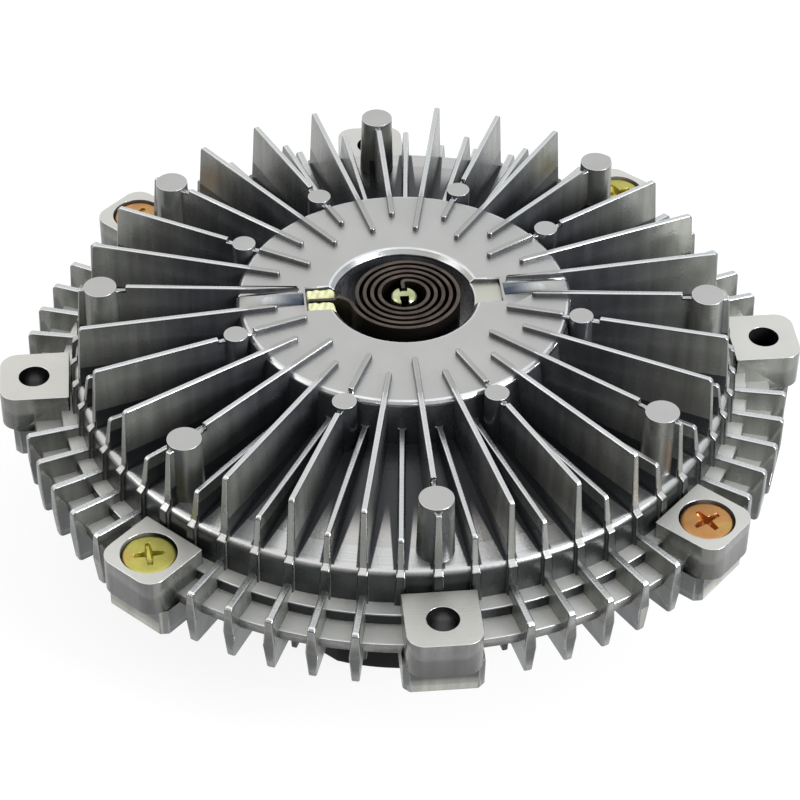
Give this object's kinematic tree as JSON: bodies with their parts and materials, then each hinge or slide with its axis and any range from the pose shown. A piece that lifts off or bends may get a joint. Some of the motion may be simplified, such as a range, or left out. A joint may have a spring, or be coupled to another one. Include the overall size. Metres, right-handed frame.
{
  "type": "viscous fan clutch",
  "caption": "Round finned viscous fan clutch: a die-cast housing with fan lugs turns on a flanged shaft, coupled by fluid to a ringed rotor and set by a bimetal coil.",
  "frame": {"origin": "centre of the drive flange's mounting face", "axes": "+Z along the shaft from the flange towards the bimetal coil, +X through one fan lug"},
  "size_m": [0.1856, 0.1856, 0.0718],
  "materials": {
    "black_paint": "gloss black paint over forged steel",
    "race_steel": "ground bearing steel",
    "ball_steel": "polished bearing steel",
    "cage_brass": "machined brass",
    "seal_rubber": "moulded brown seal rubber",
    "spring_steel": "dark oiled spring steel",
    "cast_body": "as-cast aluminium",
    "rotor_metal": "turned aluminium",
    "plate_steel": "rolled steel sheet",
    "rivet_metal": "drawn aluminium",
    "wiper_plastic": "moulded dark plastic",
    "pin_zinc": "yellow-green zinc plate",
    "cord_rubber": "black seal rubber",
    "cast_cover": "satin die-cast aluminium, plateau and lugs milled",
    "screw_zinc": "yellow zinc plate, greenish to copper",
    "bimetal": "dark brown oxide on strip metal",
    "sealant": "pale yellow cured sealant"
  },
  "bodies": {
    "drive": {"drive_shaft": "black_paint", "bearing_inner_race": "race_steel", "rotor": "rotor_metal", "rotor_clip": "spring_steel"},
    "housing": {"front_cover": "cast_cover", "rear_body": "cast_body", "cover_seal": "cord_rubber", "cover_screws": "screw_zinc", "bearing_outer_race": "race_steel", "bearing_front_seal": "seal_rubber", "bearing_rear_seal": "seal_rubber", "bearing_clip": "spring_steel", "divider_plate": "plate_steel", "divider_rivets": "rivet_metal", "pump_wiper": "wiper_plastic", "shaft_seal": "cord_rubber", "bimetal_coil": "bimetal", "coil_sealant": "sealant"},
    "cage": {"bearing_cage": "cage_brass", "bearing_balls": "ball_steel"},
    "valve": {"valve_shaft": "pin_zinc", "valve_arm": "plate_steel", "valve_clip": "spring_steel"}
  },
  "joints": [
    {"name": "housing_spin", "type": "hinge", "parent": "drive", "child": "housing", "pos_m": [0, 0, 0.021], "axis": [0, 0, 1], "continuous": true},
    {"name": "cage_orbit", "type": "hinge", "parent": "drive", "child": "cage", "pos_m": [0, 0, 0.021], "axis": [0, 0, 1], "continuous": true},
    {"name": "valve_turn", "type": "hinge", "parent": "housing", "child": "valve", "pos_m": [0, 0, 0.055], "axis": [0, 0, 1], "range_deg": [0, 35], "stiffness_Nm_per_rad": 0.35, "deforming": ["bimetal_coil"]}
  ],
  "couplings": [
    {"joint": "cage_orbit", "follows": "housing_spin", "ratio": 0.61851}
  ]
}
